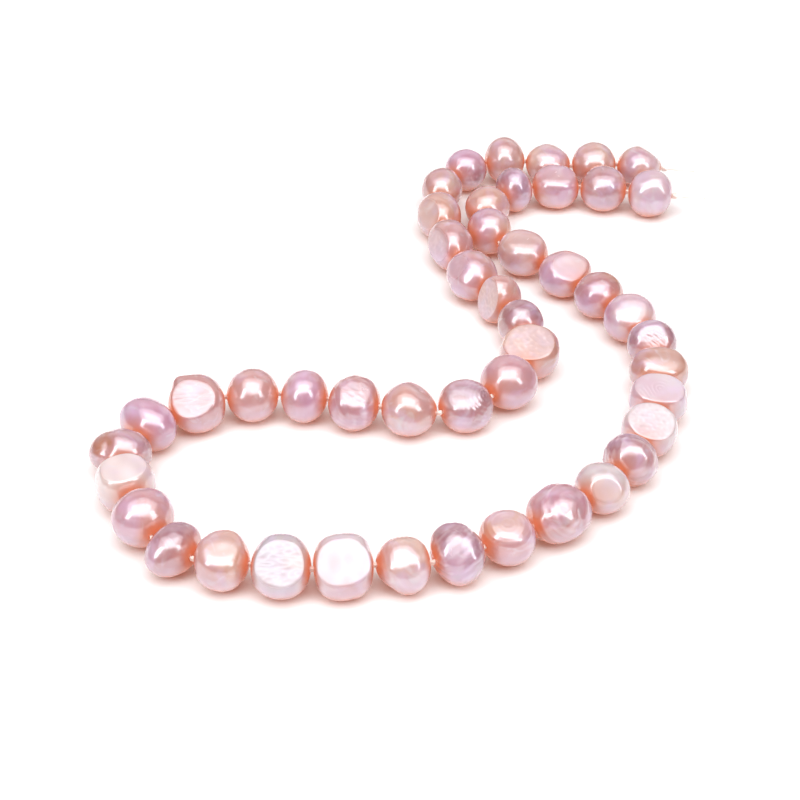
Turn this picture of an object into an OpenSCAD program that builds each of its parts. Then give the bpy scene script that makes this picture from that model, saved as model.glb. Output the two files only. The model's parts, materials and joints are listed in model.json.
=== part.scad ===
// Strand of baroque freshwater pearls on one silk thread, lying on a flat surface.
// Units are millimetres. +Z is up, and the origin is under the middle of the strand.

/* [Pearls] */
// Mean width of a pearl across the thread
pearl_size = 8.5; // [6:0.1:12]
// Mean height of a pearl as it lies
pearl_rise = 8.1; // [6:0.1:12]
// Gap on the thread between two neighbouring pearls
pearl_gap = 0.26; // [0.2:0.02:0.5]
// Diameter of the hole drilled through each pearl
drill_d = 0.8; // [0.75:0.05:1.2]

/* [Thread] */
// Diameter of the silk thread
thread_d = 0.45; // [0.3:0.05:0.5]
// Diameter of the small knot between two pearls
knot_d = 0.68; // [0.55:0.01:0.7]
// Diameter of the larger knot that closes each end of the strand
end_knot_d = 1.3; // [1:0.1:2]
// Straight length of thread left free beyond each end knot
tail_length = 6; // [3:0.5:15]

/* [Hidden] */
FLAT = 0;
BUMP = 1;
SILK = "#fbf2ea";

// A flat face: the direction it faces, how far out it lies as a share of the pearl's reach there,
// and how crisp its rim is. Directions are degrees round from +X and degrees above the horizon.
function flat(round_deg, up_deg, reach, crisp = 16) = [FLAT, toward(round_deg, up_deg), reach, crisp];

// A bump, or with a negative height a dent: its direction, its height as a share of the reach,
// and the angle over which it fades.
function bump(round_deg, up_deg, height, spread = 30) =
    [BUMP, toward(round_deg, up_deg), height, 2 * pow(180 / (PI * spread), 2)];

function toward(round_deg, up_deg) =
    [cos(up_deg) * cos(round_deg), cos(up_deg) * sin(round_deg), sin(up_deg)];

// The route of the thread in plan: its two ends and every gap between pearls, in strand order,
// laid out for pearls of the size below.
route_pearl_size = 8.5;
route = [
    [44.5, 44], [36.5, 45.5], [28, 47.5], [19, 47.5], [12.5, 44.5], [9, 36], [12.5, 27.5], [20, 21.5],
    [26, 15], [30.5, 8], [35, 1], [36, -6.5], [35.5, -14.5], [34, -22], [31, -29.5], [27, -36],
    [21.5, -42], [13.5, -48], [6.5, -52.5], [-0.5, -55.5], [-8.5, -56], [-17, -57], [-25.5, -56],
    [-33.5, -54.5], [-39.5, -50.5], [-43, -42.5], [-46.5, -35], [-46, -27], [-40.5, -21],
    [-32, -17.5], [-23.5, -16.5], [-16, -18], [-8, -20], [1, -21.5], [9, -17.5], [15, -10],
    [16.5, -1], [13, 6.5], [9.5, 12.5], [5, 21.5], [2.5, 32], [1.5, 42], [4, 51], [10.5, 56.5],
    [18.5, 57], [27, 55.5], [35.5, 56], [44, 54.5]
];

// Each pearl: width and height as shares of the mean, squareness, body colour, and its features.
pearls = [
    [1.01, 1.02, 2.0, "lilac", [bump(19, 60, 0.09), bump(-87, 25, -0.07, 20), bump(-30, 10, 0.05)]],
    [1.00, 1.00, 2.1, "mauve", []],
    [0.97, 0.97, 2.2, "lilac", [flat(-90, 78, 0.9, 10)]],
    [0.92, 1.03, 2.0, "mauve", []],
    [0.95, 0.95, 2.0, "pink", []],
    [0.92, 1.01, 2.0, "lilac", []],
    [0.96, 1.00, 2.0, "cream", [flat(-90, 80, 0.88, 10)]],
    [1.03, 0.93, 2.1, "pink", [flat(-65, 64, 0.76, 20), bump(12, 18, 0.1, 30)]],
    [1.00, 0.95, 2.0, "copper", []],
    [1.01, 0.97, 2.2, "lilac", [flat(-80, 60, 0.84, 10)]],
    [0.95, 0.97, 2.0, "mauve", [flat(-90, 46, 0.84)]],
    [1.10, 0.98, 2.1, "copper", [flat(-60, 70, 0.88, 10)]],
    [1.07, 1.06, 2.2, "pink", [flat(-88, 80, 0.6)]],
    [1.00, 1.02, 2.2, "peach", [flat(-80, 70, 0.6)]],
    [1.01, 0.97, 2.0, "mauve", [bump(-95, 52, -0.05, 18)]],
    [0.98, 0.91, 2.0, "cream", [flat(-88, 38, 0.86, 40)]],
    [1.06, 0.98, 2.1, "rose", [bump(-35, 25, -0.04, 14)]],
    [0.96, 0.98, 2.0, "peach", [flat(-90, 80, 0.86, 10), bump(-120, 5, -0.05, 18)]],
    [1.04, 1.05, 2.2, "lilac", [flat(-100, 45, 0.9), bump(-60, 0, -0.04, 20)]],
    [0.95, 0.96, 2.0, "cream", [bump(-80, -50, 0.08), flat(-100, 60, 0.86, 10)]],
    [1.04, 1.04, 2.6, "pink", [flat(-89, 56, 0.62, 24)]],
    [1.06, 1.06, 2.3, "peach", [flat(-90, 52, 0.63, 24)]],
    [0.99, 1.02, 2.1, "pink", [flat(-85, 75, 0.8)]],
    [1.04, 0.92, 2.0, "mauve", [bump(-150, -5, 0.07, 30), bump(30, 15, 0.05, 30)]],
    [1.07, 1.06, 2.0, "rose", []],
    [1.01, 1.09, 2.3, "cream", [flat(-90, 86, 0.74)]],
    [1.05, 0.94, 2.0, "copper", [bump(-140, 50, -0.1, 22), bump(180, 0, 0.1, 32)]],
    [1.15, 0.95, 2.1, "lilac", []],
    [1.10, 1.04, 2.3, "pink", [flat(-103, 56, 0.71, 24), bump(168, 16, -0.12, 14), bump(146, 42, 0.1, 14)]],
    [1.00, 1.02, 2.0, "rose", []],
    [1.00, 1.01, 2.0, "pink", []],
    [1.03, 1.03, 2.1, "peach", [flat(-75, 66, 0.87)]],
    [1.02, 1.03, 2.0, "pink", [flat(15, 52, 0.88, 10)]],
    [0.99, 0.99, 2.1, "peach", [flat(-100, 70, 0.88, 10)]],
    [1.07, 1.05, 2.0, "lilac", []],
    [1.12, 1.06, 2.3, "peach", [flat(-108, 70, 0.62, 24)]],
    [0.88, 0.99, 2.0, "mauve", []],
    [0.98, 1.05, 2.0, "peach", [flat(-154, 18, 0.54, 24)]],
    [0.98, 1.04, 2.0, "pink", [bump(-110, 30, -0.1, 18), bump(-120, -10, 0.06)]],
    [0.92, 1.05, 2.0, "pink", [flat(-152, 20, 0.8)]],
    [0.92, 0.99, 2.1, "peach", [flat(-149, 29, 0.77)]],
    [0.87, 0.98, 2.0, "rose", []],
    [0.90, 0.97, 2.0, "lilac", []],
    [1.00, 1.08, 2.0, "rose", []],
    [0.98, 0.92, 2.1, "pink", [bump(31, 38, -0.12, 18)]],
    [1.00, 1.00, 2.1, "peach", []],
    [0.99, 0.97, 2.0, "cream", [flat(30, 50, 0.82, 10)]]
];

// How many pearls each stretch of thread carries. The thread bends where two stretches meet.
stretches = [4, 3, 4, 5, 2, 4, 4, 3, 4, 3, 4, 3, 4];

body_colours = [
    ["cream", "#f1d3ca"], ["peach", "#eec2ae"], ["pink", "#eab9b8"], ["rose", "#dfa2a4"],
    ["lilac", "#dcb0c4"], ["mauve", "#c4909f"], ["copper", "#cf937f"]
];

// Rings of corners between the two drill holes of a pearl, and corners in each ring
rings = 11;
corners = 16;
// Space left between the end of one stretch of thread and the knot it turns on
bend_clearance = 0.04;
over = 1;

pearl_count = len(pearls);
lay = pearl_size / route_pearl_size;

function unit(v) = v / norm(v);
function span(i) = (route[i + 1] - route[i]) * lay;
function heading(i) = unit([span(i)[0], span(i)[1], 0]);

// Neighbours that meet at an angle stand back from the knot between them, a wide pearl more than
// a slim one, so that their shoulders clear each other.
function bend(k) = (k <= 0 || k >= pearl_count) ? 0 : acos(min(1, heading(k - 1) * heading(k)));
function half_width(i) = pearl_size * pearls[i][0] / 2;
function stand_back(i, k) =
    let (l = (norm(span(i)) - pearl_gap) / 2, side = half_width(i) * tan(bend(k) / 2))
    sqrt(l * l + side * side) - l;
function half_length(i) = (norm(span(i)) - pearl_gap - stand_back(i, i) - stand_back(i, i + 1)) / 2;

// How far a pearl's surface lies from its middle in direction n.
// An ellipsoid, squared off a little, then raised or dented, then cut by its flats.
function across(i, n) = let (h = heading(i)) [n * h, n * [-h[1], h[0], 0], n[2]];
function halves(i) = [half_length(i), half_width(i), pearl_rise * pearls[i][1] / 2];
function plain_reach(i, n) =
    let (q = across(i, n), r = halves(i), s = pearls[i][2])
    pow(pow(abs(q[0]) / r[0], s) + pow(abs(q[1]) / r[1], s) + pow(abs(q[2]) / r[2], s), -1 / s);
function lumps(i, n) =
    product([for (f = pearls[i][4]) if (f[0] == BUMP) 1 + f[2] * exp((n * f[1] - 1) * f[3])]);
function product(v, k = 0) = k == len(v) ? 1 : v[k] * product(v, k + 1);
function cut(r, i, n, k = 0) =
    k == len(pearls[i][4]) ? r :
    let (f = pearls[i][4][k])
    (f[0] == BUMP || n * f[1] <= 0) ? cut(r, i, n, k + 1) :
    let (h = f[2] * plain_reach(i, f[1]) / (n * f[1]))
    cut(pow(pow(r, -f[3]) + pow(h, -f[3]), -1 / f[3]), i, n, k + 1);
function reach(i, n) = cut(plain_reach(i, n) * lumps(i, n), i, n);

// The corners of a pearl about its own middle: one at each end of the drill axis, rings between.
function ring_dir(i, tip, turn) =
    let (h = heading(i)) cos(tip) * h + sin(tip) * (cos(turn) * [-h[1], h[0], 0] + sin(turn) * [0, 0, 1]);
function skin(i) = [
    heading(i) * reach(i, heading(i)),
    for (t = [1 : rings], c = [0 : corners - 1])
        let (n = ring_dir(i, 180 * t / (rings + 1), 360 * c / corners)) n * reach(i, n),
    -heading(i) * reach(i, -heading(i))
];
function corner(t, c) = 1 + (t - 1) * corners + c % corners;
skin_faces = [
    for (c = [0 : corners - 1]) [0, corner(1, c + 1), corner(1, c)],
    for (t = [1 : rings - 1], c = [0 : corners - 1]) each [
        [corner(t, c), corner(t, c + 1), corner(t + 1, c)],
        [corner(t, c + 1), corner(t + 1, c + 1), corner(t + 1, c)]
    ],
    for (c = [0 : corners - 1]) [corner(rings, c), corner(rings, c + 1), rings * corners + 1]
];
skins = [for (i = [0 : pearl_count - 1]) skin(i)];

// Each pearl rests on the ground, so its middle is as high as its lowest corner is deep, and the
// thread passes each knot at the mean height of the two pearls beside it.
rest = [for (s = skins) -min([for (p = s) p[2]])];
function plan_heading(i) = [heading(i)[0], heading(i)[1]];
function laid_middle(i) =
    let (m = route[i] * lay + plan_heading(i) * (pearl_gap / 2 + stand_back(i, i) + half_length(i)))
    [m[0], m[1], rest[i]];
function laid_knot(k) =
    [route[k][0] * lay, route[k][1] * lay, (rest[max(0, k - 1)] + rest[min(pearl_count - 1, k)]) / 2];

// Each tail goes straight on from the end pearl's drill hole.
function beyond(inner, outer) = outer + unit(outer - inner) * tail_length;
laid_tails = [
    beyond(laid_knot(1), laid_knot(0)),
    beyond(laid_knot(pearl_count - 1), laid_knot(pearl_count))
];

// The origin is put under the middle of everything.
xs = [for (i = [0 : pearl_count - 1], p = skins[i]) p[0] + laid_middle(i)[0], for (t = laid_tails) t[0]];
ys = [for (i = [0 : pearl_count - 1], p = skins[i]) p[1] + laid_middle(i)[1], for (t = laid_tails) t[1]];
shift = [min(xs) + max(xs), min(ys) + max(ys), 0] / 2;

function middle(i) = laid_middle(i) - shift;
function knot(k) = laid_knot(k) - shift;
function tail_end(e) = laid_tails[e] - shift;
function first_pearl(s) = s == 0 ? 0 : first_pearl(s - 1) + stretches[s - 1];

function two_digits(n) = str(n < 10 ? "0" : "", n);
pearl_nodes = [for (i = [1 : pearl_count]) str("pearl_", two_digits(i))];
thread_nodes = [for (s = [1 : len(stretches)]) str("thread_", two_digits(s))];

// A round bar from a to b that starts a little way in, and may run on past b
module bar(a, b, d, start = 0, past = 0) {
    v = b - a;
    l = norm(v);
    translate(a) rotate([0, acos(v[2] / l), atan2(v[1], v[0])]) translate([0, 0, start])
        cylinder(d = d, h = l - start + past, $fn = 24);
}

// One pearl, lying on the ground, with its drill hole on the line of the thread
module pearl(i) {
    tone = body_colours[search([pearls[i][3]], body_colours)[0]][1];
    color(tone) difference() {
        translate(middle(i)) polyhedron(skins[i], skin_faces);
        bar(knot(i), knot(i + 1), drill_d, -over, over);
    }
}

// A ball for a knot, turned so that its seam lies to one side of the thread
module knot_ball(at, d, along) {
    translate(at) rotate([0, 0, atan2(along[1], along[0]) + 90]) sphere(d = d, $fn = 24);
}

// One stretch of thread: straight inside each pearl, with a knot in the gap after each
module thread(s) {
    a = first_pearl(s);
    b = a + stretches[s];
    turns_on = knot_d / 2 + bend_clearance;
    tuck = knot_d / 4;
    color(SILK) union() {
        for (i = [a : b - 1])
            bar(thread_start(i), thread_end(i), thread_d,
                i == a && s > 0 ? turns_on : 0, i < pearl_count - 1 ? tuck : 0);
        for (k = [a + 1 : min(b, pearl_count - 1)]) knot_ball(knot(k), knot_d, heading(k - 1) + heading(k));
        if (s == 0) knot_ball(end_knot(0), end_knot_d, heading(0));
        if (s == len(stretches) - 1) knot_ball(end_knot(1), end_knot_d, heading(pearl_count - 1));
    }
}

// The thread of pearl i runs from the gap before it to the gap after it, and on to the end of the
// tail at each end of the strand. The end knot sits on the tail, against the end pearl.
function thread_start(i) = i == 0 ? tail_end(0) : knot(i);
function thread_end(i) = i == pearl_count - 1 ? tail_end(1) : knot(i + 1);
function end_knot(e) =
    let (k = knot(e * pearl_count)) k + unit(tail_end(e) - k) * (end_knot_d - pearl_gap) / 2;

for (i = [0 : pearl_count - 1])
    pearl(i);
for (s = [0 : len(stretches) - 1])
    thread(s);
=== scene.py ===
"""Strand of baroque freshwater pearls on one knotted silk thread, dressed around its CAD frame.

Every pearl is a surface worked out on a grid round its own drill hole, and the silk is a twisted
cord with a tied knot in each gap. Sizes inside this file are millimetres until a mesh is made.
"""

import json

import bpy
import numpy as np
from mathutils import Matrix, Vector

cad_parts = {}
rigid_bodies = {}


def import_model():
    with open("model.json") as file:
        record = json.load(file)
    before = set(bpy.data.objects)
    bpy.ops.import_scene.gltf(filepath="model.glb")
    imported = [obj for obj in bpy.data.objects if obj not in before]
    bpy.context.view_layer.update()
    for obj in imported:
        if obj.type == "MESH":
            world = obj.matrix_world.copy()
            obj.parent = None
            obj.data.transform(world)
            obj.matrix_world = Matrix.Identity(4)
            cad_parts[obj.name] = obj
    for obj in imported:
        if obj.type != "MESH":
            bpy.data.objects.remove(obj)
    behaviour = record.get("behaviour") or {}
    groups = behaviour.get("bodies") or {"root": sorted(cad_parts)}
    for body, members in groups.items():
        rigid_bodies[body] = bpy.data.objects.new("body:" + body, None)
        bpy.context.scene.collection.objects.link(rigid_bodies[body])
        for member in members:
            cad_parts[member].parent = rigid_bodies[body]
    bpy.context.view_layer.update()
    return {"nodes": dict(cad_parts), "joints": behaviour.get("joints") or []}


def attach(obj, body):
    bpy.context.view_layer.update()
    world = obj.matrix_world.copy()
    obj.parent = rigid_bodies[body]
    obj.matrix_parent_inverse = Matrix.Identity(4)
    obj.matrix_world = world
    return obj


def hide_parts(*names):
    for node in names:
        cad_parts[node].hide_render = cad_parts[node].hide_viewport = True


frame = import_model()

MM = 0.001
BORE_RADIUS = 0.4
MOUTH_RADIUS = 0.5
MOUTH_DEPTH = 0.07
THREAD_RADIUS = 0.225
TURNS_PER_MM = 0.7
SMALL_KNOT_RADIUS = 0.34
SMALL_KNOT_LOOP = 0.19
SMALL_KNOT_STRAND = 0.13
END_KNOT_RADIUS = 0.65
END_KNOT_LOOP = 0.4
END_KNOT_STRAND = 0.23
CLEAR_OF_KNOT = 0.16
GAP = 0.26
RINGS = 92
CORNERS = 128
FIT_RINGS = 47
FIT_CORNERS = 64
UNEVEN_SHARE = 0.014
FINE_SHARE = 0.0026
WRINKLE_SHARE = 0.0035
WRINKLE_SHADE = 120
# How far round each drill mouth the glow mask reaches (painted warm shade and painted glow, with a
# duller coat), and how far the occlusion looks for neighbours and the floor.
GLOW_REACH = np.radians(24)
CLOSE_REACH = 3.8
# Where the lilac band of painted floor reflection sits below each pearl's middle, and how wide it is.
FLOOR_REFLECTION_TILT = np.radians(-26)
FLOOR_REFLECTION_SPREAD = np.radians(24)

CAMERA_PLACE = (-4.62, -238.02, 167.9)
CAMERA_AIM = (-4.62, -12.72, 0.0)

UP = np.array([0.0, 0.0, 1.0])
STREAK_TURN = np.array([[0.8, 0.6, 0], [-0.6, 0.8, 0], [0, 0, 1]])


# ---------------------------------------------------------------- what each pearl looks like


def toward(round_deg, up_deg):
    """The unit direction round_deg round from +X and up_deg above the horizon."""
    a, e = np.radians(round_deg), np.radians(up_deg)
    return np.array([np.cos(e) * np.cos(a), np.cos(e) * np.sin(a), np.sin(e)])


def bump(round_deg, up_deg, height, spread=30):
    """A swelling, or with a negative height a dent, as a share of the reach."""
    return ("bump", toward(round_deg, up_deg), height, np.radians(spread))


def flat(round_deg, up_deg, reach, crisp=16, relief="smooth", matte=0.2):
    """A face the pearl grew against the shell. It lies at that share of the reach."""
    return ("flat", toward(round_deg, up_deg), reach, crisp, relief, matte)


def crease(round_deg, up_deg, ring_deg, depth, width=7):
    """A groove that runs in a ring ring_deg away from a direction."""
    return ("crease", toward(round_deg, up_deg), np.radians(ring_deg), depth, np.radians(width))


def rings(round_deg, up_deg, spacing, depth, within=50):
    """Fine growth rings round a direction, fading out at the angle within."""
    return ("rings", toward(round_deg, up_deg), np.radians(spacing), depth, np.radians(within))


# squareness, first tone, second tone, side of the second tone, unevenness, wrinkles, features
PEARLS = [
    (2.0, "lilac", "white", (-60, 50), 2.2, 0.5,
     [bump(19, 60, 0.09), bump(-87, 25, -0.07, 20), bump(-30, 10, 0.05),
      bump(-80, 2, -0.06, 12)]),
    (2.1, "mauve", "pink", (-90, 60), 0.8, 0.1, []),
    (2.2, "lilac", "peach", (-90, -30), 0.9, 0.1, [flat(-90, 78, 0.9, 10)]),
    (2.0, "mauve", "lilac", (-80, -20), 0.7, 0.1, []),
    (2.0, "pink", "peach", (0, 10), 0.8, 0.1, []),
    (2.0, "lilac", "cream", (-60, -30), 0.7, 0.1, []),
    (2.0, "pink", "cream", (-60, -40), 0.9, 0.1, [flat(-90, 80, 0.9, 7)]),
    (2.1, "pink", "lilac", (-120, -20), 0.8, 0.1,
     [flat(-65, 64, 0.76, 24, "smooth", 0.5), bump(12, 18, 0.1, 30)]),
    (2.0, "copper", "lilac", (-100, 0), 0.6, 0.1, []),
    (2.2, "lilac", "white", (-60, 55), 0.9, 0.1, [flat(-80, 60, 0.84, 10)]),
    (2.0, "mauve", "mauve", (-60, 20), 0.9, 0.8, [flat(-90, 46, 0.84, 16, "streaks")]),
    (2.1, "copper", "peach", (-60, 60), 0.7, 0.1, [flat(-60, 70, 0.88, 10)]),
    (2.2, "shell", "lilac", (180, 0), 0.8, 0.2,
     [flat(-88, 80, 0.6, 44, "rings", 1.0)]),
    (2.2, "shell", "pink", (-80, -20), 0.9, 0.2, [flat(-80, 70, 0.6, 40, "mottled", 0.8)]),
    (2.0, "mauve", "pink", (-60, -40), 1.2, 2.8, [bump(-95, 52, -0.05, 18)]),
    (2.0, "shell", "peach", (-40, -30), 0.7, 0.1, [flat(-88, 38, 0.86, 60, "smooth", 0.6)]),
    (2.1, "rose", "lilac", (0, 20), 1.2, 2.0,
     [bump(-35, 25, -0.04, 14), crease(0, 10, 42, 0.02)]),
    (2.0, "peach", "lilac", (-90, -20), 1.0, 0.3,
     [flat(-90, 80, 0.86, 10), bump(-120, 5, -0.05, 18), rings(-90, 78, 11, 0.008, 75)]),
    (2.2, "mauve", "lilac", (-60, -20), 1.6, 1.8,
     [flat(-100, 45, 0.9), bump(-60, 0, -0.04, 20), crease(-70, -10, 24, 0.02)]),
    (2.0, "cream", "pink", (-120, 30), 2.0, 1.0,
     [bump(-80, -50, 0.08), flat(-100, 60, 0.93, 10), bump(-78, 30, -0.04, 16)]),
    (2.6, "shell", "pink", (-90, -30), 0.7, 0.1, [flat(-89, 56, 0.62, 36, "smooth", 0.9)]),
    (2.3, "pewter", "cream", (-90, -50), 0.7, 0.1, [flat(-90, 52, 0.63, 44, "flaky", 1.0)]),
    (2.1, "pink", "peach", (-60, 40), 1.2, 0.2, [flat(-85, 75, 0.84, 10)]),
    (2.0, "mauve", "rose", (-60, -30), 1.2, 0.3,
     [bump(-150, -5, 0.07, 30), bump(30, 15, 0.05, 30)]),
    (2.0, "pink", "lilac", (-90, 60), 0.9, 0.1, []),
    (2.3, "white", "cream", (-90, -60), 0.7, 0.1, [flat(-90, 86, 0.74, 36, "smooth", 1.0)]),
    (2.0, "copper", "mauve", (0, 20), 1.2, 0.2,
     [bump(-140, 50, -0.1, 22), bump(180, 0, 0.1, 32), crease(180, 20, 50, 0.03, 12)]),
    (2.1, "lilac", "lilac", (-150, 30), 0.8, 0.1, []),
    (2.3, "rose", "pink", (-90, -40), 0.8, 0.3,
     [flat(-103, 56, 0.71, 40, "wrinkled", 0.6), bump(168, 16, -0.12, 14), bump(146, 42, 0.1, 14)]),
    (2.0, "pink", "pink", (-90, 40), 0.5, 0.0, []),
    (2.0, "pink", "lilac", (-80, 20), 0.5, 0.0, []),
    (2.1, "rose", "lilac", (-70, -20), 0.9, 1.4,
     [flat(-75, 66, 0.87, 16, "streaks"), crease(-90, -90, 52, 0.012)]),
    (2.0, "pink", "peach", (-90, -40), 0.7, 0.1, [flat(15, 52, 0.88, 10)]),
    (2.1, "rose", "mauve", (-40, 50), 0.9, 1.0,
     [flat(-100, 70, 0.88, 10), rings(-20, 40, 10, 0.009, 70)]),
    (2.0, "lilac", "pink", (-100, 50), 0.5, 0.1, []),
    (2.3, "peach", "copper", (0, 0), 0.7, 0.1, [flat(-108, 70, 0.62, 60, "mottled", 1.0)]),
    (2.0, "mauve", "copper", (180, 0), 0.5, 0.1, []),
    (2.0, "peach", "pink", (0, 30), 0.7, 0.1, [flat(-154, 18, 0.54, 60, "mottled", 0.8)]),
    (2.0, "pink", "lilac", (-100, -40), 0.9, 0.1,
     [bump(-110, 30, -0.06, 18), bump(-120, -10, 0.06), crease(-128, -34, 40, 0.045, 9),
      flat(-160, 42, 0.9, 14, "mottled", 0.6)]),
    (2.0, "pink", "lilac", (-90, -40), 0.9, 0.2, [flat(-152, 20, 0.8, 24, "mottled", 0.6)]),
    (2.1, "peach", "pink", (0, 40), 0.8, 0.2, [flat(-149, 29, 0.77, 30, "smooth", 0.7)]),
    (2.0, "rose", "cream", (-60, 0), 0.7, 0.1, []),
    (2.0, "lilac", "rose", (-60, -40), 0.7, 0.1, []),
    (2.0, "pink", "cream", (-90, -40), 0.7, 0.1, []),
    (2.1, "cream", "lilac", (-60, 40), 0.9, 0.1, [bump(31, 38, -0.12, 18)]),
    (2.1, "cream", "pink", (-100, 30), 0.9, 0.3, []),
    (2.0, "cream", "lilac", (180, 10), 0.9, 0.1, [flat(30, 50, 0.82, 10)]),
]

TONES = {
    "white": (0.65, 0.53, 0.51),
    "shell": (0.55, 0.46, 0.47),
    "pewter": (0.42, 0.38, 0.42),
    "cream": (0.59, 0.41, 0.34),
    "peach": (0.55, 0.30, 0.22),
    "pink": (0.51, 0.26, 0.25),
    "rose": (0.44, 0.19, 0.18),
    "lilac": (0.48, 0.24, 0.34),
    "mauve": (0.32, 0.15, 0.19),
    "copper": (0.40, 0.16, 0.10),
}
OVERTONE = (0.58, 0.42, 0.62)
SEA = (0.58, 0.60, 0.62)
# Painted reflection of the white floor, laid as a lilac band below each pearl's middle.
FLOOR_REFLECTION_TINT = (0.60, 0.44, 0.62)
FLAT_FACE = (0.68, 0.60, 0.62)
# Painted highlight on crests of the relief and painted shade in its grooves and creases.
CREST_HIGHLIGHT = (0.90, 0.86, 0.88)
VALLEY_SHADE = (0.42, 0.30, 0.34)
# Painted warm shade and bounce light where a neighbour or the floor shuts a pearl in, and the colour
# of the painted glow (an emission) there and round the drill mouths.
CREVICE_SHADE_AND_BOUNCE = (0.62, 0.21, 0.11)
PAINTED_CREVICE_GLOW = (1.0, 0.30, 0.16)


# ---------------------------------------------------------------- pearl surfaces


def waves(n, seed, lowest, highest, count):
    """A smooth random field on the sphere: a sum of sine waves in random directions."""
    rng = np.random.default_rng(seed)
    total = np.zeros(n.shape[:-1])
    for _ in range(count):
        direction = rng.normal(size=3)
        direction /= np.linalg.norm(direction)
        pace = rng.uniform(lowest, highest)
        total += np.sin(n @ direction * pace + rng.uniform(0, 2 * np.pi))
    return total / np.sqrt(count / 2)


def swirl(n, seed, pace):
    """Wrinkles: parallel waves whose phase is pushed about by a slower field."""
    rng = np.random.default_rng(seed)
    direction = rng.normal(size=3)
    direction /= np.linalg.norm(direction)
    return np.sin(n @ direction * pace + 2.6 * waves(n, seed + 1, 2, 4, 6))


def ridges(spot, stretch, seed, lowest, highest):
    """Irregular ridges that run mostly one way: sharp crests of a random field drawn out by
    stretch across and along."""
    return 1 - 1.6 * np.abs(waves(spot * np.array([*stretch, 0]), seed, lowest, highest, 18))


def flat_relief(kind, across, along, seed):
    """Relief on a flat face, as its height in shares of the reach and its shape from -1 to 1,
    worked out from the distances across and along the face."""
    spot = np.stack([across, along, 0 * across], -1)
    off_centre = np.hypot(across, along)
    slow = waves(spot, seed, 2, 5, 6)
    if kind == "wrinkled":
        return 0.006, ridges(spot, (0.4, 1.0), seed, 14, 26)
    if kind == "flaky":
        return 0.005, ridges(spot, (0.35, 1.0), seed, 16, 36)
    if kind == "streaks":
        return 0.006, ridges(spot @ STREAK_TURN, (0.3, 1.0), seed, 20, 40)
    if kind == "rings":
        return 0.007, np.sin(off_centre * 26 + 2.2 * slow) * np.clip(0.3 + 0.7 * slow, 0, 1)
    if kind == "mottled":
        coarse = ridges(spot, (0.6, 1.0), seed, 9, 20)
        return 0.006, 0.5 * waves(spot, seed, 8, 26, 24) + 0.4 * coarse
    return 0.0015, 0.5 * waves(spot, seed, 4, 10, 8)


class Skin:
    """One pearl's surface, as how far it lies from the pearl's middle in a direction.

    An ellipsoid of powers, raised by bumps, dents, creases and rings, cut by soft planes, and then
    made a little uneven.
    """

    def __init__(self, number):
        self.squareness, _, _, side, uneven, wrinkles, self.features = PEARLS[number]
        self.side = toward(*side)
        self.seed = 100 + 17 * number
        self.uneven = UNEVEN_SHARE * uneven
        self.wrinkles = WRINKLE_SHARE * wrinkles

    def set_axes(self, heading, halves):
        self.axes = np.array([heading, np.cross(UP, heading), UP])
        self.halves = np.array(halves, float)

    def plain(self, n):
        q = np.abs(n @ self.axes.T) / self.halves
        return (q**self.squareness).sum(-1) ** (-1 / self.squareness)

    def reach(self, n):
        broad = waves(n, self.seed, 1.5, 3.5, 7)
        lumps = waves(n, self.seed + 4, 4, 8, 10)
        fine = waves(n, self.seed + 9, 9, 16, 14)
        r = self.plain(n) * (1 + self.uneven * (broad + 0.55 * lumps))
        # relief is a mask for the colour, not a height: painted highlight on crests, painted shade in
        # grooves, creases and between rings.
        relief = 0.25 * fine + 0.15 * lumps
        for kind, m, size, depth, *rest in self.features:
            angle = np.arccos(np.clip(n @ m, -1, 1))
            if kind == "bump":
                r = r * (1 + size * np.exp((n @ m - 1) * 2 / depth**2))
            if kind == "crease":
                groove = np.exp(-(((angle - size) / rest[0]) ** 2))
                r = r * (1 - depth * groove)
                relief = relief - groove
            if kind == "rings":
                ripple = np.sin(2 * np.pi * angle / size + 0.8 * broad)
                ripple = ripple * np.sqrt(np.clip(1 - angle / rest[0], 0, 1))
                r = r * (1 + depth * ripple)
                relief = relief + 0.6 * ripple
        if self.wrinkles:
            wrinkle = swirl(n, self.seed + 5, 15) + 0.5 * swirl(n, self.seed + 7, 26)
            r = r * (1 + self.wrinkles * wrinkle)
            relief = relief + WRINKLE_SHADE * self.wrinkles * wrinkle
        r = r * (1 + FINE_SHARE * fine)
        self.flatness = np.zeros(n.shape[:-1])
        self.matte = np.zeros(n.shape[:-1])
        self.relief = relief
        for f in self.features:
            if f[0] == "flat":
                r = self.cut(r, n, *f[1:])
        return r

    def cut(self, r, n, m, share, crisp, relief, matte):
        """Cuts the surface with a plane, as a soft minimum of the two reaches."""
        facing = n @ m
        ahead = facing > 1e-3
        plane = share * self.plain(m[None])[0] / np.where(ahead, facing, 1)
        a, b = np.where(ahead, plane, 99) ** -crisp, r**-crisp
        weight = np.where(ahead, a / (a + b), 0)
        side = np.cross(UP if abs(m[2]) < 0.99 else self.axes[0], m)
        side /= np.linalg.norm(side)
        spread = np.where(ahead, facing, 1)
        across, along = n @ side / spread, n @ np.cross(m, side) / spread
        height, shade = flat_relief(relief, across, along, self.seed + 3)
        self.flatness = np.maximum(self.flatness, weight)
        self.matte = np.maximum(self.matte, weight * matte)
        # The face's shape also sets painted highlight and painted shade in the colour.
        self.relief = self.relief * (1 - weight) + shade * weight
        return np.where(ahead, (a + b) ** (-1 / crisp), r) * (1 + weight**3 * height * shade)


def grid_directions(axis, side, tips, turns):
    """Directions at the angles tips from axis and turns round it."""
    t, c = tips[:, None, None], turns[None, :, None]
    return np.cos(t) * axis + np.sin(t) * (np.cos(c) * side + np.sin(c) * np.cross(axis, side))


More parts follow.
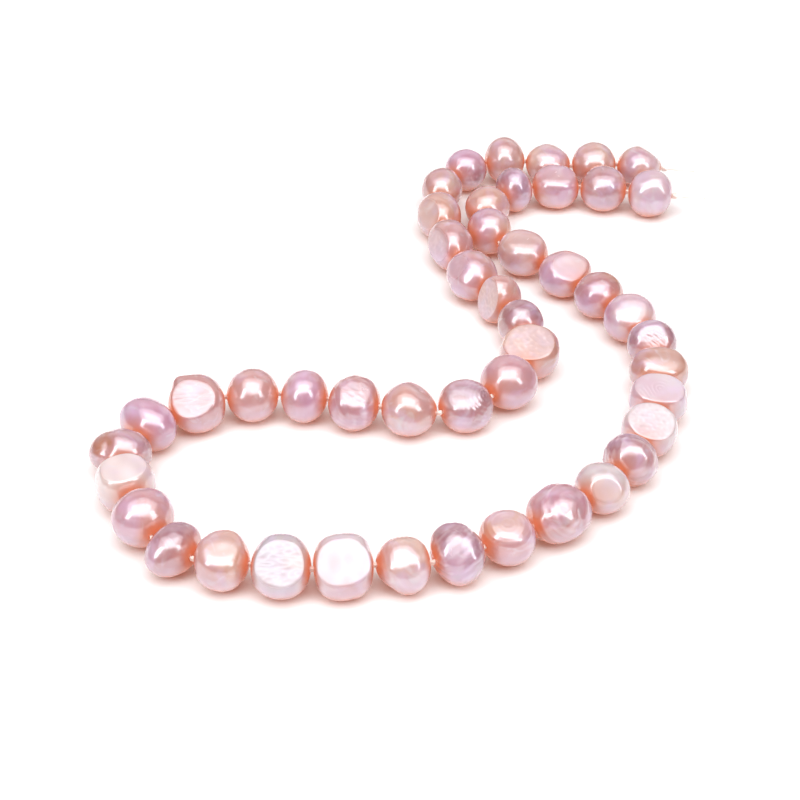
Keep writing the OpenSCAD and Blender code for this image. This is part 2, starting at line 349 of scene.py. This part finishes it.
def fit_to_frame(skin, corners, heading):
    """Sizes and places a skin so that it spans what its CAD node spans along three axes."""
    axes = np.array([heading, np.cross(UP, heading), UP])
    spans = corners @ axes.T
    low, high = spans.min(0), spans.max(0)
    halves = (high - low) / 2
    tips = np.linspace(0, np.pi, FIT_RINGS)
    turns = np.linspace(0, 2 * np.pi, FIT_CORNERS, endpoint=False)
    n = grid_directions(heading, axes[1], tips, turns).reshape(-1, 3)
    for _ in range(4):
        skin.set_axes(heading, halves)
        own = (n * skin.reach(n)[:, None]) @ axes.T
        halves = halves * (high - low) / np.ptp(own, axis=0)
    return ((low + high) / 2 - (own.min(0) + own.max(0)) / 2) @ axes


def pearl_surface(number, start, axis, corners):
    """Corners, faces and attributes of a pearl with its drill hole.

    Rings of corners go round the drill hole's line from one mouth to the other, each corner where
    a ray from that line meets the skin. The rings close through the hole, so it is a true bore.
    """
    heading = np.array([axis[0], axis[1], 0])
    heading /= np.linalg.norm(heading)
    skin = Skin(number)
    middle = fit_to_frame(skin, corners, heading)
    centre = start + axis * ((middle - start) @ axis)
    side = np.cross(UP, axis)
    side /= np.linalg.norm(side)
    mouth_tip = MOUTH_RADIUS / skin.halves[0]
    tips = np.linspace(mouth_tip, np.pi - mouth_tip, RINGS)
    turns = np.linspace(0, 2 * np.pi, CORNERS, endpoint=False)
    n = grid_directions(axis, side, tips, turns)
    length = np.full(n.shape[:2], skin.halves[0])
    for _ in range(7):
        out = centre + n * length[..., None] - middle
        far = np.linalg.norm(out, axis=-1)
        away = out / far[..., None]
        length = length * skin.reach(away) / far
    points = centre + n * length[..., None]
    lift = max(0.0, -points[..., 2].min())
    points[..., 2] += lift
    drift = 0.28 + 0.38 * (away @ skin.side) + 0.2 * waves(away, skin.seed + 11, 2, 5, 8)
    # Mask round each drill mouth: it dulls the coat, adds metallic, and feeds the painted warm shade
    # and painted glow.
    glow = np.exp(-((np.arccos(np.clip(np.abs(away @ axis), 0, 1)) / GLOW_REACH) ** 2))
    values = {"drift": drift, "flatness": skin.flatness, "matte": skin.matte}
    # Band below the middle where the colour takes a painted lilac reflection of the floor.
    under = np.exp(-(((np.arcsin(away[..., 2]) - FLOOR_REFLECTION_TILT) / FLOOR_REFLECTION_SPREAD) ** 2))
    values |= {"glow": glow, "relief": skin.relief, "under": under}
    return close_through_bore(points, centre, axis), {k: end_rings(v) for k, v in values.items()}


def end_rings(values):
    """Repeats the first and last ring's values for the rings just inside the mouths."""
    return np.concatenate([values[:1], values, values[-1:]])


def close_through_bore(points, centre, axis):
    """Adds a ring just inside each mouth, drawn in to the bore's radius."""
    mouths = []
    for ring, inward in ((points[0], -1), (points[-1], 1)):
        along = (ring - centre) @ axis
        off = ring - centre - along[:, None] * axis
        off *= BORE_RADIUS / np.linalg.norm(off, axis=1)[:, None]
        mouths.append(centre + off + (along + inward * MOUTH_DEPTH)[:, None] * axis)
    return np.concatenate([mouths[0][None], points, mouths[1][None]])


def grid_faces(rows, columns, wrap_rows):
    """Quads over a grid of corners whose columns wrap round, and whose rows may."""
    last = rows if wrap_rows else rows - 1
    r, c = np.meshgrid(np.arange(last), np.arange(columns), indexing="ij")
    below, beside = (r + 1) % rows, (c + 1) % columns
    quads = [r * columns + c, below * columns + c, below * columns + beside, r * columns + beside]
    return np.stack(quads, -1).reshape(-1, 4)


def new_mesh(name, corners_mm, faces, **attributes):
    """A smooth mesh object from arrays in millimetres, with named values at its corners."""
    mesh = bpy.data.meshes.new(name)
    corners = np.asarray(corners_mm, float).reshape(-1, 3) * MM
    mesh.from_pydata(corners, [], faces.tolist())
    for key, values in attributes.items():
        layer = mesh.attributes.new(key, "FLOAT", "POINT")
        layer.data.foreach_set("value", np.asarray(values, np.float32).ravel())
    mesh.shade_smooth()
    obj = bpy.data.objects.new(name, mesh)
    bpy.context.scene.collection.objects.link(obj)
    return obj


# ---------------------------------------------------------------- materials


def new_material(name):
    material = bpy.data.materials.new(name)
    material.use_nodes = True
    nodes = material.node_tree.nodes
    nodes.clear()
    output = nodes.new("ShaderNodeOutputMaterial")
    shader = nodes.new("ShaderNodeBsdfPrincipled")
    material.node_tree.links.new(shader.outputs["BSDF"], output.inputs["Surface"])
    return material, nodes, material.node_tree.links, shader


def new_group(name, inputs, outputs):
    group = bpy.data.node_groups.new(name, "ShaderNodeTree")
    for label, kind, value in inputs:
        socket = group.interface.new_socket(label, in_out="INPUT", socket_type="NodeSocket" + kind)
        socket.default_value = value
    for label, kind in outputs:
        group.interface.new_socket(label, in_out="OUTPUT", socket_type="NodeSocket" + kind)
    nodes = group.nodes
    return group, nodes, group.links, nodes.new("NodeGroupInput"), nodes.new("NodeGroupOutput")


def math(nodes, links, operation, a, b=None, clamp=False):
    node = nodes.new("ShaderNodeMath")
    node.operation, node.use_clamp = operation, clamp
    for socket, value in zip(node.inputs, (a, b)):
        if isinstance(value, (int, float)):
            socket.default_value = value
        elif value is not None:
            links.new(value, socket)
    return node.outputs[0]


def noise(nodes, links, vector, scale, detail=3.0, rough=0.5, warp=0.0):
    node = nodes.new("ShaderNodeTexNoise")
    node.inputs["Scale"].default_value = scale
    node.inputs["Detail"].default_value = detail
    node.inputs["Roughness"].default_value = rough
    node.inputs["Distortion"].default_value = warp
    links.new(vector, node.inputs["Vector"])
    return node.outputs["Fac"]


def blend_colours(nodes, links, factor, a, b, mode="MIX"):
    node = nodes.new("ShaderNodeMix")
    node.data_type, node.blend_type = "RGBA", mode
    for socket, value in ((node.inputs[0], factor), (node.inputs[6], a), (node.inputs[7], b)):
        if isinstance(value, (int, float)):
            socket.default_value = value
        elif isinstance(value, tuple):
            socket.default_value = (*value, 1)
        else:
            links.new(value, socket)
    return node.outputs[2]


def nacre_group():
    """Colour, roughness and relief of nacre: two tones that drift into each other, cloudy patches
    of a cooler overtone, a painted reflection of the floor as a lilac band below the middle, paler
    and duller flat faces, painted highlight on crests and painted shade in grooves of the relief,
    and the ripple of the platelets. Where a neighbour or the floor shuts the surface in, and a
    little round the drill hole, the colour turns to a painted warm shade and bounce light, and an
    emission paints a faint glow there, standing in for light passing between pearls."""
    group, nodes, links, given, made = new_group(
        "Nacre",
        [("First tone", "Color", (1, 1, 1, 1)), ("Second tone", "Color", (1, 1, 1, 1))],
        [("Color", "Color"), ("Metallic", "Float"), ("Roughness", "Float"),
         ("Coat", "Float"), ("Height", "Float"), ("Painted glow", "Color")],
    )
    place = nodes.new("ShaderNodeTexCoord").outputs["Object"]
    value = {}
    for name in ("drift", "flatness", "matte", "glow", "relief", "under"):
        node = nodes.new("ShaderNodeAttribute")
        node.attribute_name = name
        value[name] = node.outputs["Fac"]
    cloud = noise(nodes, links, place, 420, 3, 0.55, 0.4)
    cloud = math(nodes, links, "SUBTRACT", cloud, 0.5)
    mix = math(nodes, links, "ADD", value["drift"], math(nodes, links, "MULTIPLY", cloud, 0.5), True)
    colour = blend_colours(
        nodes, links, mix, given.outputs["First tone"], given.outputs["Second tone"]
    )
    overtone = noise(nodes, links, place, 230, 2, 0.5, 0.8)
    overtone = math(nodes, links, "SUBTRACT", overtone, 0.48, True)
    overtone = math(nodes, links, "MULTIPLY", overtone, 2.2)
    colour = blend_colours(nodes, links, overtone, colour, OVERTONE)
    sea = noise(nodes, links, place, 340, 2, 0.5, 1.2)
    sea = math(nodes, links, "MULTIPLY", math(nodes, links, "SUBTRACT", sea, 0.58, True), 2.0)
    colour = blend_colours(nodes, links, sea, colour, SEA)
    # Painted reflection of the floor on the band below the middle.
    under = math(nodes, links, "MULTIPLY", value["under"], 0.5)
    colour = blend_colours(nodes, links, under, colour, FLOOR_REFLECTION_TINT)
    pale = math(nodes, links, "MULTIPLY", value["flatness"], 0.3)
    colour = blend_colours(nodes, links, pale, colour, FLAT_FACE)
    # Painted highlight on raised relief, painted shade in its grooves and creases.
    crest = math(nodes, links, "MULTIPLY", value["relief"], 0.16, True)
    colour = blend_colours(nodes, links, crest, colour, CREST_HIGHLIGHT)
    valley = math(nodes, links, "MULTIPLY", value["relief"], -0.24, True)
    colour = blend_colours(nodes, links, valley, colour, VALLEY_SHADE)
    # Occlusion by neighbours and the floor, plus the mask round the drill mouths, paints warm shade
    # and bounce light into the colour and sets a painted glow as emission.
    near = nodes.new("ShaderNodeAmbientOcclusion")
    near.samples = 6
    near.inputs["Distance"].default_value = CLOSE_REACH * MM
    close = math(nodes, links, "SUBTRACT", 1.0, near.outputs["AO"], True)
    close = math(nodes, links, "ADD", close, math(nodes, links, "MULTIPLY", value["glow"], 0.3), True)
    deep = math(nodes, links, "MULTIPLY", close, close)
    warm = math(nodes, links, "MULTIPLY", close, 1.5, True)
    colour = blend_colours(nodes, links, warm, colour, CREVICE_SHADE_AND_BOUNCE)
    lit = blend_colours(nodes, links, deep, (0.0, 0.0, 0.0), PAINTED_CREVICE_GLOW)
    links.new(lit, made.inputs["Painted glow"])
    links.new(colour, made.inputs["Color"])
    links.new(math(nodes, links, "MULTIPLY", value["glow"], 0.3, True), made.inputs["Metallic"])
    rough = math(nodes, links, "MULTIPLY", value["matte"], 0.25)
    rough = math(nodes, links, "ADD", rough, math(nodes, links, "MULTIPLY", cloud, 0.12))
    links.new(math(nodes, links, "ADD", rough, 0.22), made.inputs["Roughness"])
    dull = math(nodes, links, "ADD", value["glow"], value["matte"])
    dull = math(nodes, links, "MULTIPLY", dull, 0.75)
    links.new(math(nodes, links, "SUBTRACT", 0.9, dull, True), made.inputs["Coat"])
    ripple = noise(nodes, links, place, 1500, 3, 0.5, 0.8)
    links.new(ripple, made.inputs["Height"])
    return group


NACRE = nacre_group()
nacre_made = {}


def nacre(first, second):
    """The material of a pearl whose first tone drifts into the second."""
    if (first, second) in nacre_made:
        return nacre_made[first, second]
    material, nodes, links, shader = new_material(f"nacre_{first}_{second}")
    group = nodes.new("ShaderNodeGroup")
    group.node_tree = NACRE
    group.inputs["First tone"].default_value = (*TONES[first], 1)
    group.inputs["Second tone"].default_value = (*TONES[second], 1)
    links.new(group.outputs["Color"], shader.inputs["Base Color"])
    links.new(group.outputs["Metallic"], shader.inputs["Metallic"])
    links.new(group.outputs["Roughness"], shader.inputs["Roughness"])
    links.new(group.outputs["Coat"], shader.inputs["Coat Weight"])
    # The emission paints a glow in crevices and round the drill mouths; nothing there is a lamp.
    links.new(group.outputs["Painted glow"], shader.inputs["Emission Color"])
    shader.inputs["Emission Strength"].default_value = 0.2
    bump_node = nodes.new("ShaderNodeBump")
    bump_node.inputs["Strength"].default_value = 0.2
    bump_node.inputs["Distance"].default_value = 0.00002
    links.new(group.outputs["Height"], bump_node.inputs["Height"])
    links.new(bump_node.outputs["Normal"], shader.inputs["Normal"])
    shader.inputs["IOR"].default_value = 2.2
    shader.inputs["Specular Tint"].default_value = (0.88, 0.93, 1.0, 1)
    shader.inputs["Subsurface Weight"].default_value = 0.2
    shader.inputs["Subsurface Radius"].default_value = (1.0, 0.5, 0.4)
    shader.inputs["Subsurface Scale"].default_value = 0.0007
    shader.inputs["Coat Roughness"].default_value = 0.1
    shader.inputs["Coat IOR"].default_value = 1.7
    nacre_made[first, second] = material
    return material


def silk():
    """Pale silk with a soft sheen and a fine grain along its twisted filaments."""
    material, nodes, links, shader = new_material("silk")
    place = nodes.new("ShaderNodeTexCoord").outputs["Object"]
    grain = noise(nodes, links, place, 5200, 3, 0.6)
    colour = blend_colours(nodes, links, grain, (0.92, 0.76, 0.68), (0.99, 0.92, 0.87))
    links.new(colour, shader.inputs["Base Color"])
    shader.inputs["Roughness"].default_value = 0.55
    shader.inputs["Sheen Weight"].default_value = 0.6
    shader.inputs["Sheen Roughness"].default_value = 0.4
    return material


# ---------------------------------------------------------------- thread and knots


def sweep(path, radius, turns_per_mm, start_turn=0.0, sides=18):
    """A three-strand twisted cord along a path: a circle whose radius rises and falls three times
    round, turned steadily as it goes, with round closed ends."""
    path = np.asarray(path, float)
    step = np.gradient(path, axis=0)
    tangent = step / np.linalg.norm(step, axis=1)[:, None]
    side = np.cross(UP, tangent)
    side /= np.linalg.norm(side, axis=1)[:, None]
    other = np.cross(tangent, side)
    travelled = np.concatenate([[0], np.cumsum(np.linalg.norm(np.diff(path, axis=0), axis=1))])
    turn = np.linspace(0, 2 * np.pi, sides, endpoint=False)[None]
    twist = start_turn + 2 * np.pi * turns_per_mm * travelled[:, None]
    from_end = np.minimum(travelled, travelled[-1] - travelled)[:, None]
    taper = np.sqrt(np.clip(1 - (1 - np.clip(from_end / radius, 0, 1)) ** 2, 0.02, 1))
    r = radius * (0.88 + 0.12 * np.abs(np.cos(1.5 * (turn - twist)))) * taper
    return path[:, None] + r[..., None] * (
        np.cos(turn)[..., None] * side[:, None] + np.sin(turn)[..., None] * other[:, None]
    )


def straight(a, b, spacing=0.06):
    count = max(4, int(np.linalg.norm(b - a) / spacing))
    return a + (b - a) * np.linspace(0, 1, count)[:, None]


def knot_path(middle, along, size, count=120):
    """An overhand knot: a trefoil wound round the thread's line, flattened to fit its size."""
    t = np.linspace(0, 2 * np.pi, count)
    side = np.cross(UP, along)
    side /= np.linalg.norm(side)
    other = np.cross(along, side)
    x, y, z = np.sin(t) + 2 * np.sin(2 * t), np.cos(t) - 2 * np.cos(2 * t), -np.sin(3 * t)
    return middle + size * (
        x[:, None] / 3 * side + y[:, None] / 3 * other + 0.9 * z[:, None] * along
    )


# ---------------------------------------------------------------- the pieces

spins = {j["child"]: j for j in frame["joints"] if j["name"].startswith("spin")}
pearl_names = sorted(spins)
axes = [np.array(spins[p]["axis"], float) for p in pearl_names]
knots = [np.array(spins[p]["pos_m"], float) / MM for p in pearl_names]


def cad_corners(node):
    mesh = frame["nodes"][node].data
    corners = np.empty(len(mesh.vertices) * 3, np.float32)
    mesh.vertices.foreach_get("co", corners)
    return corners.reshape(-1, 3).astype(float) / MM


last_corners = cad_corners(pearl_names[-1])
knots.append(knots[-1] + axes[-1] * (((last_corners - knots[-1]) @ axes[-1]).max() + GAP / 2))


def make_pearl(number):
    name = pearl_names[number]
    points, values = pearl_surface(number, knots[number], axes[number], cad_corners(name))
    faces = grid_faces(points.shape[0], points.shape[1], wrap_rows=True)
    piece = new_mesh("nacre_" + name, points, faces, **values)
    piece.data.materials.append(nacre(PEARLS[number][1], PEARLS[number][2]))
    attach(piece, name)
    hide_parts(name)


def capped(rows):
    """Faces over an open tube of rings, closed at each end by a fan of triangles round one corner."""
    count, sides = rows.shape[:2]
    corners = np.concatenate([rows.reshape(-1, 3), rows[0].mean(0)[None], rows[-1].mean(0)[None]])
    quads = grid_faces(count, sides, wrap_rows=False).tolist()
    first, last = count * sides, count * sides + 1
    for c in range(sides):
        quads.append([first, c, (c + 1) % sides])
        quads.append([last, (count - 1) * sides + (c + 1) % sides, (count - 1) * sides + c])
    return corners, quads


def join_parts(parts):
    corners, faces, start = [], [], 0
    for c, f in parts:
        corners.append(c)
        faces += [[v + start for v in face] for face in f]
        start += len(c)
    return np.concatenate(corners), faces


def make_thread(name, silk_material):
    """One stretch of silk: a twisted cord through its pearls, and the knot in each gap after one."""
    carried = [i for i, p in enumerate(pearl_names) if spins[p]["parent"] == name]
    first, last = carried[0], carried[-1]
    box = cad_corners(name)
    parts = []
    for i in carried:
        a, b = knots[i], knots[i + 1]
        if i == 0:
            a = a - axes[0] * ((a - box) @ axes[0]).max()
        if i == len(pearl_names) - 1:
            b = b + axes[i] * ((box - b) @ axes[i]).max()
        if i == first and i > 0:
            a = a + axes[i] * (SMALL_KNOT_RADIUS + CLEAR_OF_KNOT)
        parts.append(capped(sweep(straight(a, b), THREAD_RADIUS, TURNS_PER_MM, i)))
    for k in range(first + 1, last + 2):
        if k < len(pearl_names):
            path = knot_path(knots[k], axes[k - 1] + axes[k], SMALL_KNOT_LOOP)
            parts.append(capped(sweep(path, SMALL_KNOT_STRAND, TURNS_PER_MM, k, 12)))
    if first == 0:
        parts.append(end_knot(knots[0], -axes[0]))
    if last == len(pearl_names) - 1:
        parts.append(end_knot(knots[-1], axes[-1]))
    corners, faces = join_parts(parts)
    mesh = bpy.data.meshes.new("silk_" + name)
    mesh.from_pydata(corners * MM, [], faces)
    mesh.shade_smooth()
    piece = bpy.data.objects.new("silk_" + name, mesh)
    bpy.context.scene.collection.objects.link(piece)
    piece.data.materials.append(silk_material)
    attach(piece, name)
    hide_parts(name)


def end_knot(gap, outward):
    """The larger knot that closes an end, just outside the last pearl."""
    middle = gap + outward * (END_KNOT_RADIUS - GAP / 2)
    path = knot_path(middle, outward, END_KNOT_LOOP)
    return capped(sweep(path, END_KNOT_STRAND, TURNS_PER_MM, 0, 16))


for number in range(len(pearl_names)):
    make_pearl(number)
silk_material = silk()
for thread in sorted({spins[p]["parent"] for p in pearl_names}):
    make_thread(thread, silk_material)


# ---------------------------------------------------------------- floor, light and camera


def make_floor():
    """A white board beneath the strand. Beyond the strand the camera sees it as plain white."""
    half, fade_start, fade_rate = 3.0, 0.12, 3.2
    corners = [(-half, -half, 0), (half, -half, 0), (half, half, 0), (-half, half, 0)]
    mesh = bpy.data.meshes.new("floor")
    mesh.from_pydata(corners, [], [(0, 1, 2, 3)])
    floor = bpy.data.objects.new("floor", mesh)
    bpy.context.scene.collection.objects.link(floor)
    material, nodes, links, shader = new_material("white_board")
    shader.inputs["Base Color"].default_value = (0.90, 0.90, 0.90, 1)
    shader.inputs["Roughness"].default_value = 0.8
    shader.inputs["Specular IOR Level"].default_value = 0.1
    place = nodes.new("ShaderNodeTexCoord").outputs["Object"]
    far = nodes.new("ShaderNodeVectorMath")
    far.operation = "LENGTH"
    links.new(place, far.inputs[0])
    beyond = math(nodes, links, "SUBTRACT", far.outputs["Value"], fade_start)
    fade = math(nodes, links, "MULTIPLY", beyond, fade_rate, True)
    seen = nodes.new("ShaderNodeLightPath").outputs["Is Camera Ray"]
    shader.inputs["Emission Color"].default_value = (1, 1, 1, 1)
    links.new(math(nodes, links, "MULTIPLY", fade, seen), shader.inputs["Emission Strength"])
    mesh.materials.append(material)


def area_light(name, round_deg, up_deg, distance, width, height, power, colour=(1, 1, 1)):
    """A softbox that faces the middle of the strand."""
    light = bpy.data.lights.new(name, "AREA")
    light.shape, light.size, light.size_y = "RECTANGLE", width, height
    light.energy, light.color = power, colour
    obj = bpy.data.objects.new(name, light)
    bpy.context.scene.collection.objects.link(obj)
    out = Vector(toward(round_deg, up_deg))
    obj.location = out * distance
    obj.rotation_mode = "QUATERNION"
    obj.rotation_quaternion = out.to_track_quat("Z", "Y")


def make_lights():
    """A white tent: a wide top, two front legs either side of the opening the camera looks through,
    and a back wall. The brightness of each is watts over its area and pi."""
    area_light("tent_top", -90, 78, 0.614, 1.15, 0.8, 4.4)
    area_light("tent_crown", -90, 72, 0.58, 0.62, 0.42, 1.8, (0.88, 0.96, 1.0))
    area_light("tent_leg_left", -141, 35, 0.6, 0.15, 0.32, 0.75, (0.88, 0.96, 1.0))
    area_light("tent_leg_right", -40, 35, 0.6, 0.14, 0.28, 0.55, (0.88, 0.96, 1.0))
    area_light("tent_back", 90, 30, 0.7, 1.3, 0.5, 1.0)
    world = bpy.data.worlds.new("studio")
    bpy.context.scene.world = world
    world.use_nodes = True
    nodes, links = world.node_tree.nodes, world.node_tree.links
    seen = nodes.new("ShaderNodeLightPath").outputs["Is Camera Ray"]
    colour = blend_colours(nodes, links, seen, (0.3, 0.198, 0.174), (1.0, 1.0, 1.0))
    links.new(colour, nodes["Background"].inputs["Color"])


def make_camera():
    """The camera looks down at the strand from the front, from the height of a seated person's
    hand."""
    data = bpy.data.cameras.new("camera")
    data.sensor_width, data.lens = 36.0, 80.1
    data.clip_start, data.clip_end = 0.01, 10
    camera = bpy.data.objects.new("camera", data)
    bpy.context.scene.collection.objects.link(camera)
    place, aim = Vector(CAMERA_PLACE) * MM, Vector(CAMERA_AIM) * MM
    camera.location = place
    camera.rotation_mode = "QUATERNION"
    camera.rotation_quaternion = (aim - place).to_track_quat("-Z", "Y")
    bpy.context.scene.camera = camera


make_floor()
make_lights()
make_camera()
view = bpy.context.scene.view_settings
view.view_transform, view.look, view.exposure = "Standard", "None", 0.0
